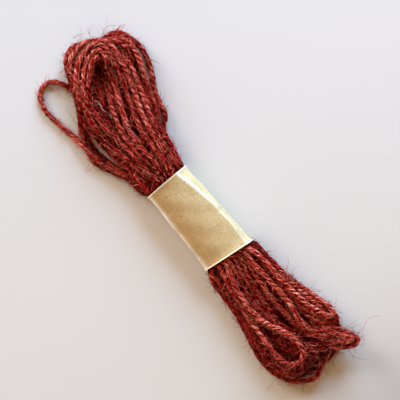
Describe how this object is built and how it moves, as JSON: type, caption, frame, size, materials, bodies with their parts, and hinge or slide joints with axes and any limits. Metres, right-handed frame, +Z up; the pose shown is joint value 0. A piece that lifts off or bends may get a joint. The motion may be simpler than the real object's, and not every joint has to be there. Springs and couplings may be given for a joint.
{
  "type": "skein of jute thread with a paper band",
  "caption": "Small hank of rust-red two-ply jute thread, looped at both ends and held round its waist by a plain cream paper band.",
  "frame": {"origin": "middle of the band's flat underside, on the surface that the skein lies on", "axes": "+X along the hank through the band, towards the blunter end; +Z up from the surface"},
  "size_m": [0.1498, 0.0443, 0.0111],
  "materials": {
    "jute_thread": "rust-red dyed jute, two plies twisted together, hairy",
    "band_paper": "plain cream paper, slightly glossy"
  },
  "bodies": {
    "root": {"jute_hank": "jute_thread", "paper_band": "band_paper"}
  },
  "joints": []
}
